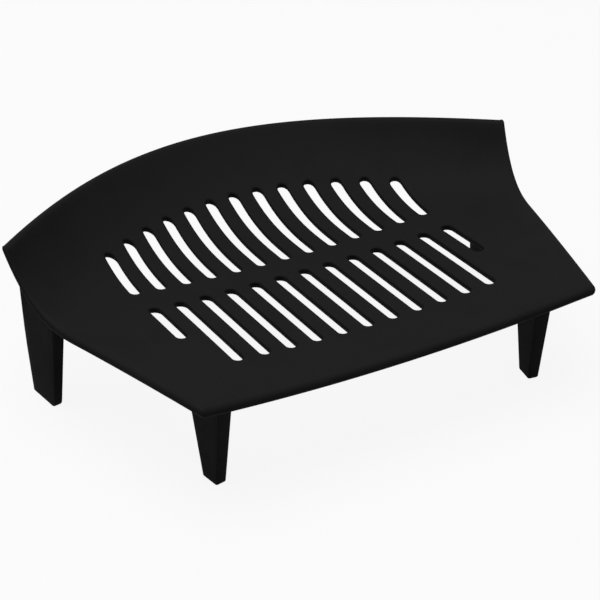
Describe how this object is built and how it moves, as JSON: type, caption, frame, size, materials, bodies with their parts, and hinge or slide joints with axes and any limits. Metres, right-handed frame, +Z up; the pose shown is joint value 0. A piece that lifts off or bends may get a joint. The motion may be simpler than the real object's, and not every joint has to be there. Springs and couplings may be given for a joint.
{
  "type": "fire grate",
  "caption": "Free-standing cast-iron log grate: a dished, slotted plate with a bowed, curled-up front edge on short tapered legs bolted beneath",
  "frame": {"origin": "on the floor under the grate, at the middle of its length and depth", "axes": "+X along the long side, to the right seen from the front; +Y from the bowed front edge to the straight back edge; +Z up"},
  "size_m": [0.407, 0.2906, 0.1212],
  "materials": {
    "plate_iron": "as-cast skin under satin black heat-resisting paint",
    "leg_iron": "as-cast skin under satin black heat-resisting paint",
    "fastener_steel": "black oxide on machined steel"
  },
  "bodies": {
    "root": {"grate_plate": "plate_iron", "leg_back_left": "leg_iron", "leg_back_right": "leg_iron", "leg_front_left": "leg_iron", "leg_front_right": "leg_iron", "bolt_back_left": "fastener_steel", "bolt_back_right": "fastener_steel", "bolt_front_left": "fastener_steel", "bolt_front_right": "fastener_steel", "washer_back_left": "fastener_steel", "washer_back_right": "fastener_steel", "washer_front_left": "fastener_steel", "washer_front_right": "fastener_steel", "nut_back_left": "fastener_steel", "nut_back_right": "fastener_steel", "nut_front_left": "fastener_steel", "nut_front_right": "fastener_steel"}
  },
  "joints": []
}
